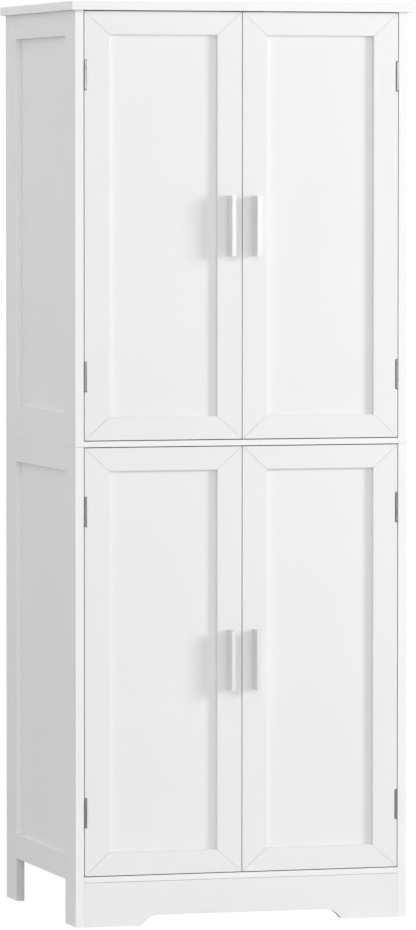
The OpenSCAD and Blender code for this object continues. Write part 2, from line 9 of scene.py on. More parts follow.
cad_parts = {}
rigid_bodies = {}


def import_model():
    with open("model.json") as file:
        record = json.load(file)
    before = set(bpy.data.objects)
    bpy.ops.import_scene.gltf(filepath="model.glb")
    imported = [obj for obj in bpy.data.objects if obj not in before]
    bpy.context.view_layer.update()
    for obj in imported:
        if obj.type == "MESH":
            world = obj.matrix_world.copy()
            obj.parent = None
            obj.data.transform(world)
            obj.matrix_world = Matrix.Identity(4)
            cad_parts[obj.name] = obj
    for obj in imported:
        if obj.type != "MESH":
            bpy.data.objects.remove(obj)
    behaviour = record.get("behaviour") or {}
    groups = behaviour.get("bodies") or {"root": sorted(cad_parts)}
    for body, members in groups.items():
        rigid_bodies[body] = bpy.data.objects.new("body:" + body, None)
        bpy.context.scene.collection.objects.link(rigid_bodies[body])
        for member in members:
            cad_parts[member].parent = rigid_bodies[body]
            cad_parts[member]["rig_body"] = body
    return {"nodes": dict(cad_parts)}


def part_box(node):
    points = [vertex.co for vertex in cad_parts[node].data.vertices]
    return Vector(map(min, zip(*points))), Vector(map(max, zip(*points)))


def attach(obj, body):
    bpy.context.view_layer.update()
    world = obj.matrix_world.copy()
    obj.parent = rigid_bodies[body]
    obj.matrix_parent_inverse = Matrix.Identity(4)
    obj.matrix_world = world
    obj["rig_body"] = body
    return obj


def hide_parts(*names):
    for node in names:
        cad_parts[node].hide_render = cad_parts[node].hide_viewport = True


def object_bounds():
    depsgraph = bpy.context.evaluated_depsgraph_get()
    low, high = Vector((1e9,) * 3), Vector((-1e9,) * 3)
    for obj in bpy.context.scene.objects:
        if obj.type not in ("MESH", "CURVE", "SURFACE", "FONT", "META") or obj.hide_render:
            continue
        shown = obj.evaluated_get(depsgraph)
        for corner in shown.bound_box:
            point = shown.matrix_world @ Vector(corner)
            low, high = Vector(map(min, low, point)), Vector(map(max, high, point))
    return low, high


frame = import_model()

bl_info = {
    "name": "Pantry cabinet",
    "version": (1, 0, 0),
    "blender": (4, 5, 0),
    "location": "3D View > Sidebar > Cabinet",
    "description": "Finishes the boards, doors and fittings of a pantry cabinet and sets its studio stage",
    "category": "Object",
}

CAD_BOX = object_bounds()
NODES = frame["nodes"]
BODY_OF = {node: obj["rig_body"] for node, obj in NODES.items()}
LOW = CAD_BOX[0]

# Lengths, in metres.
HOLE_EDGE = 0.00062     # edges up to this long are the facets of drilled holes, which stay crisp
FITTING_EDGE = 0.001    # the same, on the small fittings
HANDLE_EDGE = 0.0008    # the same, on the handles
HANDLE_ARRIS = 0.0006
CATCH_ARRIS = 0.0008
MAGNET_ARRIS = 0.0003
RAIL_REVEAL = 0.0009    # gap at each end of a side rail
KICK_REVEAL = 0.0004    # gap above the kickboard
MACHINE_SHANK = 0.0018  # a screw with a thicker shank than this is a machine screw
BOLT_GRIP = 0.011       # how far a cam bolt's thread reaches into its board
KEY_SIZE = 1.75
FLOOR_RADIUS = 14.0
FLOOR_DROP = 0.0002
ROUND_WITHIN = 0.00002
SAME_PLACE = 1e-5
SAME_POINT = 1e-6
DIGITS = 5              # places to which sizes are compared

# A hinge pin's radius, as a share of its head's.
PIN_SHARE = 0.5

# Facets round a turned fitting, a cam lock and a dowel.
SEGMENTS = 32
DRUM_SEGMENTS = 64
DOWEL_SEGMENTS = 96
DOWEL_FLUTES = 16

# Faces within the first angle of each other are one flat face; edges that turn more than the second
# are corners; shading breaks at the third.
FLAT_WITHIN = math.radians(0.5)
CORNER = math.radians(40)
SHADING_BREAK = math.radians(35)

# Parts of a face's unit normal: along X and Z on a mitre, and across a board on its broad faces.
MITRED = 0.3
BROAD = 0.7

# A head that keeps this share of its radius past its end is a pan head.
PAN_RIM = 0.98

# Outlines of screw and pin heads: (depth, radius) as shares of the head's.
PAN_HEAD = ((0, 0.62), (0.1, 0.84), (0.35, 0.97), (0.7, 1), (1, 0.98))
MACHINE_HEAD = ((0, 0.6), (0.12, 0.85), (0.4, 0.98), (0.75, 1), (1, 0.98))
PIN_HEAD = ((0, 0.45), (0.18, 0.78), (0.5, 0.96), (0.85, 1), (1, 0.97))

# How a finish's noise is stretched: not at all, along drawn metal, along the grain of beech.
EVEN = (1, 1, 1)
DRAWN = (1, 1, 0.02)
GRAIN = (1, 1, 0.06)
NOISE_LOW = 0.3
NOISE_HIGH = 0.7

MAGNET_GREY = (0.09, 0.09, 0.095)
PLASTIC_WHITE = (0.83, 0.83, 0.82)
BEECH_DARK = (0.46, 0.30, 0.17)
BEECH_LIGHT = (0.63, 0.45, 0.28)

# Each glow's direction, and the angles in degrees inside which it is full and past which it is gone.
FRONT_PATCH = ((-0.12, -1.0, 0.12), 8, 36)
SIDE_PATCH = ((-0.85, 0.5, 0.2), 25, 75)
TOP_PATCH = ((0.0, -0.6, 1.0), 15, 50)
KEY_AIM_HEIGHT = 1.0
SKY_WHITE = 1.05
FLOOR_GREY = 0.8
FLOOR_WHITE = 1.03
FLOOR_WHITE_SHARE = 0.97
SENSOR_MM = 36.0
FAR_LIMIT = 100.0


# ---- Settings ----

class BoardSettings(bpy.types.PropertyGroup):
    face_colour: bpy.props.FloatVectorProperty(
        name="Face colour", description="Colour of the laminate on the boards' faces",
        subtype="COLOR", size=3, min=0, max=1, default=(0.87, 0.87, 0.868))
    edge_colour: bpy.props.FloatVectorProperty(
        name="Edge colour", description="Colour of the banding on the boards' edges",
        subtype="COLOR", size=3, min=0, max=1, default=(0.925, 0.925, 0.92))
    roughness: bpy.props.FloatProperty(
        name="Roughness", description="Roughness of the satin laminate",
        subtype="FACTOR", min=0, max=1, default=0.42)
    arris: bpy.props.FloatProperty(
        name="Arris", description="Radius of the boards' softened edges",
        unit="LENGTH", min=0.0001, max=0.002, default=0.0006)
    joint_arris: bpy.props.FloatProperty(
        name="Joint arris", description="Radius of the edges where framed pieces meet",
        unit="LENGTH", min=0.0001, max=0.001, default=0.00035)
    seam: bpy.props.FloatProperty(
        name="Seam", description="How far each framed piece is set back from its neighbour at a joint",
        unit="LENGTH", min=0, max=0.0003, default=0.00012)


class MetalSettings(bpy.types.PropertyGroup):
    handle_colour: bpy.props.FloatVectorProperty(
        name="Handle colour", description="Colour of the handles' satin aluminium",
        subtype="COLOR", size=3, min=0, max=1, default=(0.85, 0.85, 0.85))
    handle_roughness: bpy.props.FloatProperty(
        name="Handle roughness", description="Roughness of the handles",
        subtype="FACTOR", min=0.06, max=1, default=0.38)
    # The hinges' nickel plating, darkened below the plating's own tone: painted shade on the barrels and in
    # the hinge gaps.
    hinge_colour_with_painted_shade: bpy.props.FloatVectorProperty(
        name="Hinge colour", description="Colour of the hinges' nickel plating",
        subtype="COLOR", size=3, min=0, max=1, default=(0.32, 0.32, 0.315))
    screw_colour: bpy.props.FloatVectorProperty(
        name="Screw colour", description="Colour of the screws' zinc plating",
        subtype="COLOR", size=3, min=0, max=1, default=(0.62, 0.62, 0.60))
    easing: bpy.props.FloatProperty(
        name="Easing", description="Radius of the worn edges of small metal fittings",
        unit="LENGTH", min=0.00005, max=0.0004, default=0.00015)
    recess: bpy.props.FloatProperty(
        name="Cross recess", description="Span of a screw's cross recess, as a share of its head",
        subtype="FACTOR", min=0.3, max=0.8, default=0.62)


class StageSettings(bpy.types.PropertyGroup):
    camera_place: bpy.props.FloatVectorProperty(
        name="Camera", description="Where the camera stands",
        subtype="TRANSLATION", unit="LENGTH", size=3, default=(-3.115, -10.705, 1.3257))
    camera_turn: bpy.props.FloatVectorProperty(
        name="Camera turn", description="Tilt, roll and turn of the camera",
        subtype="EULER", unit="ROTATION", size=3,
        default=(math.radians(87.236), math.radians(-0.018), math.radians(-16.243)))
    camera_lens: bpy.props.FloatProperty(
        name="Lens", description="Focal length on a 36 mm sensor, in millimetres",
        min=10, max=400, default=243.75)
    key_place: bpy.props.FloatVectorProperty(
        name="Key light", description="Where the key softbox stands",
        subtype="TRANSLATION", unit="LENGTH", size=3, default=(4.6, -3.28, 1.9))
    key_power: bpy.props.FloatProperty(
        name="Key power", description="Power of the key softbox",
        unit="POWER", min=0, default=150.0)
    front_glow: bpy.props.FloatProperty(
        name="Front glow", description="Strength of the broad light in front",
        min=0, max=8, default=2.5)
    side_glow: bpy.props.FloatProperty(
        name="Side glow", description="Strength of the broad light behind on the left",
        min=0, max=8, default=1.12)
    top_glow: bpy.props.FloatProperty(
        name="Top glow", description="Strength of the broad light above the front",
        min=0, max=8, default=0.53)


# ---- Node helpers ----

def new_material(name):
    """An empty node material with a Principled shader; returns (material, node tree, shader)."""
    material = bpy.data.materials.new(name)
    material.use_nodes = True
    tree = material.node_tree
    tree.nodes.clear()
    shader = tree.nodes.new("ShaderNodeBsdfPrincipled")
    output = tree.nodes.new("ShaderNodeOutputMaterial")
    tree.links.new(shader.outputs["BSDF"], output.inputs["Surface"])
    return material, tree, shader


def add_noise(tree, scale, detail=2.0, stretch=EVEN):
    """Noise in the cabinet's own metres; scale is in features per metre."""
    place = tree.nodes.new("ShaderNodeTexCoord")
    mapping = tree.nodes.new("ShaderNodeMapping")
    mapping.inputs["Scale"].default_value = stretch
    noise = tree.nodes.new("ShaderNodeTexNoise")
    noise.inputs["Scale"].default_value = scale
    noise.inputs["Detail"].default_value = detail
    tree.links.new(place.outputs["Object"], mapping.inputs["Vector"])
    tree.links.new(mapping.outputs["Vector"], noise.inputs["Vector"])
    return noise.outputs["Fac"]


def vary(tree, factor, low, high, socket):
    """Drives a number socket from a 0..1 factor."""
    span = tree.nodes.new("ShaderNodeMapRange")
    span.inputs["From Min"].default_value = NOISE_LOW
    span.inputs["From Max"].default_value = NOISE_HIGH
    span.inputs["To Min"].default_value = low
    span.inputs["To Max"].default_value = high
    tree.links.new(factor, span.inputs["Value"])
    tree.links.new(span.outputs["Result"], socket)


def vary_colour(tree, factor, low, high, socket):
    """Drives a colour socket between two colours from a 0..1 factor."""
    ramp = tree.nodes.new("ShaderNodeValToRGB")
    ramp.color_ramp.elements[0].position = NOISE_LOW
    ramp.color_ramp.elements[0].color = (*low, 1)
    ramp.color_ramp.elements[1].position = NOISE_HIGH
    ramp.color_ramp.elements[1].color = (*high, 1)
    tree.links.new(factor, ramp.inputs["Fac"])
    tree.links.new(ramp.outputs["Color"], socket)


def add_bump(tree, shader, height, distance, strength):
    """Raises the surface by a height factor; distance is in metres."""
    bump = tree.nodes.new("ShaderNodeBump")
    bump.inputs["Strength"].default_value = strength
    bump.inputs["Distance"].default_value = distance
    tree.links.new(height, bump.inputs["Height"])
    tree.links.new(bump.outputs["Normal"], shader.inputs["Normal"])


def shade(colour, factor):
    """A colour made darker or lighter, up to white."""
    return tuple(min(1.0, c * factor) for c in colour)


# ---- Materials ----

def laminate(name, colour, roughness):
    """Satin white laminate: a very fine orange peel and faint cloudiness."""
    material, tree, shader = new_material(name)
    clouds = add_noise(tree, 5)
    vary_colour(tree, clouds, shade(colour, 0.992), shade(colour, 1.006), shader.inputs["Base Color"])
    vary(tree, add_noise(tree, 60, 3), roughness - 0.03, roughness + 0.04, shader.inputs["Roughness"])
    add_bump(tree, shader, add_noise(tree, 1100, 3), 0.00003, 0.5)
    return material


def metal(name, colour, roughness, grain=DRAWN):
    """Drawn or plated metal: fine streaks, along one axis unless grain is even."""
    material, tree, shader = new_material(name)
    shader.inputs["Metallic"].default_value = 1.0
    streaks = add_noise(tree, 2500, 2, grain)
    vary_colour(tree, streaks, shade(colour, 0.96), shade(colour, 1.03), shader.inputs["Base Color"])
    vary(tree, streaks, roughness - 0.05, roughness + 0.06, shader.inputs["Roughness"])
    add_bump(tree, shader, streaks, 0.00002, 0.4)
    return material


def moulded_plastic(name, colour, roughness):
    """Moulded plastic with a fine spark-eroded grain."""
    material, tree, shader = new_material(name)
    clouds = add_noise(tree, 40)
    vary_colour(tree, clouds, shade(colour, 0.985), shade(colour, 1.01), shader.inputs["Base Color"])
    vary(tree, add_noise(tree, 900, 2), roughness - 0.05, roughness + 0.07, shader.inputs["Roughness"])
    add_bump(tree, shader, add_noise(tree, 4000, 2), 0.00003, 0.6)
    return material


def beech(name):
    """Bare beech: streaks and short rays along the grain."""
    material, tree, shader = new_material(name)
    streaks = add_noise(tree, 900, 4, GRAIN)
    vary_colour(tree, streaks, BEECH_DARK, BEECH_LIGHT, shader.inputs["Base Color"])
    vary(tree, streaks, 0.62, 0.75, shader.inputs["Roughness"])
    add_bump(tree, shader, streaks, 0.00005, 0.5)
    return material


_made = {}


def finish(name):
    """The named finish, made once."""
    if name not in _made:
        boards = bpy.context.scene.cabinet_boards
        metals = bpy.context.scene.cabinet_metals
        makers = {
            "board_face": lambda: laminate(name, boards.face_colour, boards.roughness),
            "board_edge": lambda: laminate(name, boards.edge_colour, boards.roughness - 0.08),
            "back_lacquer": lambda: laminate(name, shade(boards.face_colour, 0.96), boards.roughness + 0.1),
            "satin_aluminium": lambda: metal(name, metals.handle_colour, metals.handle_roughness),
            # Hinge leaves and pins take the darkened hinge colour: the plating's tone plus painted shade.
            "nickel": lambda: metal(name, metals.hinge_colour_with_painted_shade, 0.25),
            "zinc": lambda: metal(name, metals.screw_colour, 0.3, EVEN),
            "pin_nickel": lambda: metal(name, metals.screw_colour, 0.22, EVEN),
            "cast_zinc": lambda: metal(name, shade(metals.screw_colour, 0.8), 0.46, EVEN),
            "magnet_plating": lambda: metal(name, MAGNET_GREY, 0.4, EVEN),
            "white_plastic": lambda: moulded_plastic(name, PLASTIC_WHITE, 0.5),
            "beech": lambda: beech(name),
        }
        _made[name] = makers[name]()
    return _made[name]


# ---- Mesh helpers ----

def solid_mesh(node):
    """The node's solid as an editable mesh of whole flat faces."""
    bm = bmesh.new()
    bm.from_mesh(NODES[node].data)
    bmesh.ops.remove_doubles(bm, verts=bm.verts, dist=SAME_POINT)
    bmesh.ops.dissolve_limit(bm, angle_limit=FLAT_WITHIN, use_dissolve_boundaries=False,
                             verts=bm.verts[:], edges=bm.edges[:])
    return bm


def soften(bm, radius, shortest, segments=3, crisp=None):
    """Rounds the outward edges longer than shortest, apart from those in the crisp (axis, place) plane."""
    def on_crisp_plane(edge):
        return crisp and all(abs(v.co[crisp[0]] - crisp[1]) < SAME_PLACE for v in edge.verts)

    edges = [e for e in bm.edges
             if e.is_manifold and e.is_convex and e.calc_length() > shortest
             and e.calc_face_angle(0) > CORNER and not on_crisp_plane(e)]
    bmesh.ops.bevel(bm, geom=edges, offset=radius, offset_type="OFFSET", segments=segments,
                    profile=0.5, affect="EDGES", clamp_overlap=False)


def finish_mesh(bm, name):
    """A smooth-shaded object from the mesh, with the real corners kept crisp."""
    bmesh.ops.recalc_face_normals(bm, faces=bm.faces[:])
    for face in bm.faces:
        face.smooth = True
    for edge in bm.edges:
        edge.smooth = edge.is_manifold and edge.calc_face_angle(0) < SHADING_BREAK
    mesh = bpy.data.meshes.new(name)
    bm.to_mesh(mesh)
    bm.free()
    obj = bpy.data.objects.new(name, mesh)
    bpy.context.scene.collection.objects.link(obj)
    weighted = obj.modifiers.new("Flat faces", "WEIGHTED_NORMAL")
    weighted.keep_sharp = True
    return obj


def stands_for(obj, node):
    """Makes an object the visible piece of a node, riding on the node's body."""
    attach(obj, BODY_OF[node])
    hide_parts(node)
    return obj


def pull_in(bm, axis, ends, amount):
    """Sets the end faces of a piece back along an axis, which opens a hairline seam at its neighbour."""
    for end in ends:
        limit = (max if end > 0 else min)(v.co[axis] for v in bm.verts)
        for vert in bm.verts:
            if abs(vert.co[axis] - limit) < SAME_POINT:
                vert.co[axis] -= end * amount


def open_mitres(bm, axis, amount):
    """Sets the slanted end faces of door stiles or rails back along their length."""
    shift = {}
    for face in bm.faces:
        n = face.normal
        if abs(n.x) > MITRED and abs(n.z) > MITRED:
            for vert in face.verts:
                shift[vert] = -math.copysign(amount / abs(n[axis]), n[axis])
    for vert, step in shift.items():
        vert.co[axis] += step


def lip_plane(node):
    """Where a framed piece laps its recessed panel: (axis, place), or None. That lip stays crisp."""
    if "_door_" in node:
        return 1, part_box(node.rsplit("_", 1)[0] + "_panel")[0][1]
    if node.endswith(("_stile", "_side_rails")):
        side, section = node.split("_")[:2]
        low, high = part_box(f"{side}_{section}_side_panel")
        return 0, low[0] if side == "left" else high[0]
    return None


def board(node, radius, banded=True, open_seams=None, coat="board_face"):
    """A board with softened edges; its narrow faces get the edge banding."""
    bm = solid_mesh(node)
    if open_seams:
        open_seams(bm)
    low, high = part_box(node)
    spans = [high[i] - low[i] for i in range(3)]
    thin = spans.index(min(spans))
    if banded:
        for face in bm.faces:
            face.material_index = 0 if abs(face.normal[thin]) > BROAD else 1
    soften(bm, radius, HOLE_EDGE, crisp=lip_plane(node))
    obj = finish_mesh(bm, node + "_board")
    obj.data.materials.append(finish(coat))
    if banded:
        obj.data.materials.append(finish("board_edge"))
    return stands_for(obj, node)


# ---- Turned hardware, drawn once in its own axes: its outer end at z = 0, running to +Z ----

def thread_height(z, angle, pitch):
    """0 in a screw thread's valley, 1 on its crest."""
    turn = (z / pitch - angle / math.tau) % 1
    return 1 - 2 * abs(turn - 0.5)


def turned(rings, pitch=1.0, flutes=0, segments=SEGMENTS):
    """A closed solid through (z, valley radius, crest radius) rings, threaded or fluted between the two."""
    bm = bmesh.new()
    loops = []
    for z, valley, crest in rings:
        loop = []
        for i in range(segments):
            angle = math.tau * i / segments
            if flutes:
                height = 0.5 + 0.5 * math.cos(flutes * angle)
            else:
                height = thread_height(z, angle, pitch)
            r = valley + (crest - valley) * height
            loop.append(bm.verts.new((r * math.cos(angle), r * math.sin(angle), z)))
        loops.append(loop)
    for near, far in zip(loops, loops[1:]):
        for i in range(segments):
            j = (i + 1) % segments
            bm.faces.new((near[i], near[j], far[j], far[i]))
    bm.faces.new(loops[0][::-1])
    bm.faces.new(loops[-1])
    return bm


def plain(rings):
    """Rings without a thread, from (z, radius) pairs."""
    return [(z, r, r) for z, r in rings]


def outline(shares, depth, radius):
    """Rings of a head, from its (depth, radius) shares."""
    return plain([(z * depth, r * radius) for z, r in shares])


def rounded(*values):
    """Sizes rounded, so that like fittings share one mesh."""
    return tuple(round(value, DIGITS) for value in values)


def thread(start, end, valley, crest, pitch, steps=6):
    """Rings of a thread between two depths, a few to a turn, which runs in and out over one pitch."""
    count = max(2, round((end - start) / pitch * steps))
    rings = []
    for i in range(count + 1):
        z = start + (end - start) * i / count
        run_in = min(1.0, (z - start) / pitch, (end - z) / pitch)
        rings.append((z, valley, valley + (crest - valley) * max(0.0, run_in)))
    return rings


def cross_cutter(span, depth):
    """A tapered cross that cuts a driver's recess into the end at z = 0."""
    bm = bmesh.new()
    corners = []
    arm, half = span / 2, span / 9
    for turn in range(4):
        c, s = round(math.cos(turn * math.pi / 2)), round(math.sin(turn * math.pi / 2))
        for x, y in ((half, half), (arm, half), (arm, -half)):
            corners.append((x * c + y * s, x * s - y * c))
    rows = []
    # The cutter stands a little proud of the end, and narrows to half its width at the bottom.
    for z, share in ((-depth * 0.2, 1.08), (depth, 0.5)):
        rows.append([bm.verts.new((x * share, y * share, z)) for x, y in corners])
    for i in range(len(corners)):
        j = (i + 1) % len(corners)
        bm.faces.new((rows[0][i], rows[0][j], rows[1][j], rows[1][i]))
    bm.faces.new(rows[0][::-1])
    bm.faces.new(rows[1])
    bmesh.ops.recalc_face_normals(bm, faces=bm.faces[:])
    return bm


def as_mesh(bm, name):
    """Moves the drawn solid into a mesh of its own."""
    mesh = bpy.data.meshes.new(name)
    bmesh.ops.recalc_face_normals(bm, faces=bm.faces[:])
    bm.to_mesh(mesh)
    bm.free()
    return mesh


def as_object(bm, name):
    """The drawn solid as an object in the scene, for cutting."""
    obj = bpy.data.objects.new(name, as_mesh(bm, name))
    bpy.context.scene.collection.objects.link(obj)
    return obj


def cut(bm, *cutters):
    """The mesh of bm with each cutter's solid taken out."""
    body = as_object(bm, "Body")
    tools = [as_object(cutter, "Cutter") for cutter in cutters]
    for tool in tools:
        step = body.modifiers.new("Cut", "BOOLEAN")
        step.operation = "DIFFERENCE"
        step.solver = "EXACT"
        step.object = tool
    graph = bpy.context.evaluated_depsgraph_get()
    mesh = bpy.data.meshes.new_from_object(body.evaluated_get(graph))
    for obj in (body, *tools):
        bpy.data.objects.remove(obj)
    return mesh


def solids_of(node):
    """The node's separate solids, each as a list of points."""
    bm = solid_mesh(node)
    left = set(bm.verts)
    found = []
    while left:
        group = {left.pop()}
        edge = list(group)
        while edge:
            for link in edge.pop().link_edges:
                for vert in link.verts:
                    if vert in left:
                        left.remove(vert)
                        group.add(vert)
                        edge.append(vert)
        found.append([vert.co.copy() for vert in group])
    bm.free()
    return sorted(found, key=lambda points: tuple(round(sum(p[i] for p in points) / len(points), 4)
                                                  for i in range(3)))


class Rod:
    """A round solid lying along X, Y or Z, read from its points."""

    def __init__(self, points):
        self.low = Vector(min(p[i] for p in points) for i in range(3))
        self.high = Vector(max(p[i] for p in points) for i in range(3))
        self.centre = (self.low + self.high) / 2
        span = self.high - self.low
        uneven = [abs(span[(i + 1) % 3] - span[(i + 2) % 3]) for i in range(3)]
        self.axis = uneven.index(min(uneven))
        self.round = min(uneven) < ROUND_WITHIN
        self.length = span[self.axis]
        self.radius = span[(self.axis + 1) % 3] / 2
        self.points = points

    def radius_at(self, depth):
        """Largest radius among the points at a depth from the low end."""
        at = self.low[self.axis] + depth
        near = [p - self.centre for p in self.points if abs(p[self.axis] - at) < ROUND_WITHIN]
        return max((math.hypot(*(v[i] for i in range(3) if i != self.axis)) for v in near), default=0.0)

    def depths(self):
        """The distances from the low end at which the rod has points."""
        return sorted({round(p[self.axis] - self.low[self.axis], DIGITS) for p in self.points})

    def end(self, high):
        """The middle of an end, and the direction from it into the rod."""
        point = self.centre.copy()
        point[self.axis] = (self.high if high else self.low)[self.axis]
        inward = Vector((0, 0, 0))
        inward[self.axis] = -1.0 if high else 1.0
        return point, inward


def placed(point, inward, sideways=None):
    """Turns +Z to inward and +X to sideways, and moves the origin to point."""
    if sideways is None:
        sideways = Vector((0, 0, 1)) if abs(inward.z) < 0.5 else Vector((1, 0, 0))
    across = inward.cross(sideways)
    turn = Matrix((sideways, across, inward)).transposed().to_4x4()
    return Matrix.Translation(point) @ turn


_drawn = {}


def drawn_once(key, make):
    """A mesh drawn once for all fittings of one size."""
    if key not in _drawn:
        _drawn[key] = make()
    return _drawn[key]


def add_copy(bm, mesh, matrix):
    """Adds a copy of a mesh, moved by a matrix."""
    first = len(bm.verts)
    bm.from_mesh(mesh)
    bm.verts.ensure_lookup_table()
    bmesh.ops.transform(bm, matrix=matrix, verts=bm.verts[first:])


def wood_screw(head_r, head_t, shank_r, length, pan):
    """A cross-recessed wood screw, countersunk or pan-headed, with a coarse thread and a point."""
    share = bpy.context.scene.cabinet_metals.recess
    pitch = shank_r * 0.9
    tip = length - 2.2 * shank_r
    if pan:
        head = outline(PAN_HEAD, head_t, head_r) + plain([(head_t, shank_r)])
    else:
        rim = head_t * 0.12
        head = plain([(0, head_r - rim), (rim, head_r - rim / 3), (head_t, shank_r)])
    plain_end = head_t + (length - head_t) * 0.22
    core = shank_r * 0.68
    shank = plain([(plain_end - pitch / 2, shank_r), (plain_end, core)])
    spiral = thread(plain_end + pitch / 4, tip, core, shank_r, pitch)
    point = plain([(length - 0.8 * shank_r, core * 0.5), (length, core * 0.08)])
    bm = turned(head + shank + spiral + point, pitch)
    return cut(bm, cross_cutter(2 * head_r * share, head_t * 0.62))


def machine_screw(head_r, head_t, shank_r, length):
    """A pan-headed machine screw with a fine thread and a chamfered end."""
    share = bpy.context.scene.cabinet_metals.recess
    pitch = shank_r * 0.35
    neck = shank_r * 0.9
    start = head_t + (length - head_t) * 0.3
    shank = plain([(head_t, neck), (start - pitch, neck)])
    spiral = thread(start, length - pitch, shank_r * 0.84, shank_r, pitch, 4)
    end = plain([(length, shank_r * 0.7)])
    bm = turned(outline(MACHINE_HEAD, head_t, head_r) + shank + spiral + end, pitch)
    return cut(bm, cross_cutter(2 * head_r * share * 0.85, head_t * 0.6))


def add_screw(bm, rod):
    """Draws the screw that a plain rod with a head stands for."""
    high_head = rod.radius_at(rod.length) > rod.radius_at(0)
    shank_r = rod.radius_at(0 if high_head else rod.length)
    depths = [rod.length - d for d in reversed(rod.depths())] if high_head else rod.depths()
    radii = [rod.radius_at(rod.length - d if high_head else d) for d in depths]
    pan = radii[1] > PAN_RIM * rod.radius
    head_t = depths[1]
    size = rounded(rod.radius, head_t, shank_r, rod.length)
    if shank_r > MACHINE_SHANK:
        mesh = drawn_once(("machine", *size), lambda: machine_screw(*size))
    else:
        mesh = drawn_once(("wood", *size, pan), lambda: wood_screw(*size, pan))
    add_copy(bm, mesh, placed(*rod.end(high_head)))


def dowel(radius, length):
    """A fluted dowel with chamfered ends."""
    chamfer = radius * 0.22
    valley = radius * 0.955
    end = radius - chamfer
    rings = [(0, end, end), (chamfer, valley, radius), (length - chamfer, valley, radius), (length, end, end)]
    return as_mesh(turned(rings, flutes=DOWEL_FLUTES, segments=DOWEL_SEGMENTS), "Dowel")


def hinge_pin(head_r, head_t, pin_r, length):
    """A pin with a domed head at each end."""
    near = outline(PIN_HEAD, head_t, head_r) + plain([(head_t, pin_r)])
    far = [(length - z, valley, crest) for z, valley, crest in reversed(near)]
    return as_mesh(turned(near + far), "Pin")


def cam_bolt(radius, length, grip):
    """A cam bolt: a coarse thread in the board, a collar at its face, a neck and a head in the cam lock."""
    pitch = radius * 0.6
    core = radius * 0.7
    neck = radius * 0.58
    shoulder = radius * 0.98
    start = plain([(0, radius * 0.45)])
    spiral = thread(radius * 0.4, grip - pitch, core, radius, pitch)
    collar = plain([(grip - pitch / 2, core), (grip - pitch / 3, shoulder),
                    (grip + radius * 0.25, shoulder), (grip + radius * 0.35, neck)])
    head = plain([(length - radius * 1.5, neck), (length - radius * 1.1, radius * 0.85),
                  (length - radius * 0.7, shoulder), (length - radius * 0.2, radius * 0.9),
                  (length, radius * 0.5)])
    return as_mesh(turned(start + spiral + collar + head, pitch), "Bolt")


def cam_lock(radius, depth, bolt_depth, bolt_r):
    """A cam lock: a chamfered drum with a driver's cross and a tunnel for the bolt."""
    rim = radius * 0.06
    rings = plain([(0, radius - rim), (rim, radius), (depth - rim, radius), (depth, radius - rim)])
    drum = turned(rings, segments=DRUM_SEGMENTS)
    tunnel = turned(plain([(-bolt_r * 0.9, bolt_r), (radius * 1.2, bolt_r)]))
    along_bolt = placed(Vector((0, 0, bolt_depth)), Vector((1, 0, 0)))
    bmesh.ops.transform(tunnel, matrix=along_bolt, verts=tunnel.verts)
    return cut(drum, cross_cutter(radius * 1.25, depth * 0.14), tunnel)


def stands_in_for(bm, node, material, suffix):
    """Turns the drawn fittings of a node into its visible piece."""
    obj = finish_mesh(bm, node + suffix)
    obj.data.materials.clear()
    obj.data.materials.append(finish(material))
    return stands_for(obj, node)


def eased(node, material, radius, shortest):
    """A fitting's own solids with their outward edges worn round."""
    bm = solid_mesh(node)
    soften(bm, radius, shortest, 2)
    return stands_in_for(bm, node, material, "_set")


def inside(point, rod):
    """Whether a point lies in a rod's box."""
    return all(rod.low[i] - SAME_PLACE <= point[i] <= rod.high[i] + SAME_PLACE for i in range(3))


def screws(node, easing):
    """Every screw of a node drawn in full; its flat plates keep their own shape."""
    bm = bmesh.new()
    plates = solid_mesh(node)
    round_boxes = []
    for points in solids_of(node):
        rod = Rod(points)
        if rod.round:
            add_screw(bm, rod)
            round_boxes.append(rod)
    extra = [v for v in plates.verts if any(inside(v.co, rod) for rod in round_boxes)]
    bmesh.ops.delete(plates, geom=extra, context="VERTS")
    if plates.verts:
        soften(plates, easing, FITTING_EDGE, 2)
        mesh = bpy.data.meshes.new("Plates")
        plates.to_mesh(mesh)
        bm.from_mesh(mesh)
    plates.free()
    stands_in_for(bm, node, "zinc", "_set")


# ---- Operators ----

class CABINET_OT_boards(bpy.types.Operator):
    """Finish the panels, stiles, rails and kickboard of the carcass"""
    bl_idname = "cabinet.boards"
    bl_label = "Carcass boards"

    def execute(self, context):
        sizes = context.scene.cabinet_boards
        for node in ("top_panel", "middle_panel", "bottom_panel"):
            board(node, sizes.arris)
        board("kickboard", sizes.arris, open_seams=lambda bm: pull_in(bm, 2, (1,), KICK_REVEAL))
        for node in NODES:
            ends = (-1, 1) if "_upper_" in node else (1,)
            if node.endswith("_stile"):
                board(node, sizes.joint_arris, open_seams=lambda bm: pull_in(bm, 2, ends, sizes.seam))
            elif node.endswith("_side_rails"):
                board(node, sizes.joint_arris, open_seams=lambda bm: pull_in(bm, 1, (-1, 1), RAIL_REVEAL))
            elif node.endswith("_side_panel"):
                board(node, sizes.joint_arris, banded=False)
        return {"FINISHED"}


class CABINET_OT_backs_and_shelves(bpy.types.Operator):
    """Finish the back panels and the adjustable shelves"""
    bl_idname = "cabinet.backs_and_shelves"
    bl_label = "Backs and shelves"

    def execute(self, context):
        sizes = context.scene.cabinet_boards
        for node in NODES:
            if node.endswith("_shelf"):
                board(node, sizes.arris)
            elif node.endswith("_back_panel"):
                board(node, sizes.joint_arris, banded=False, coat="back_lacquer")
        return {"FINISHED"}


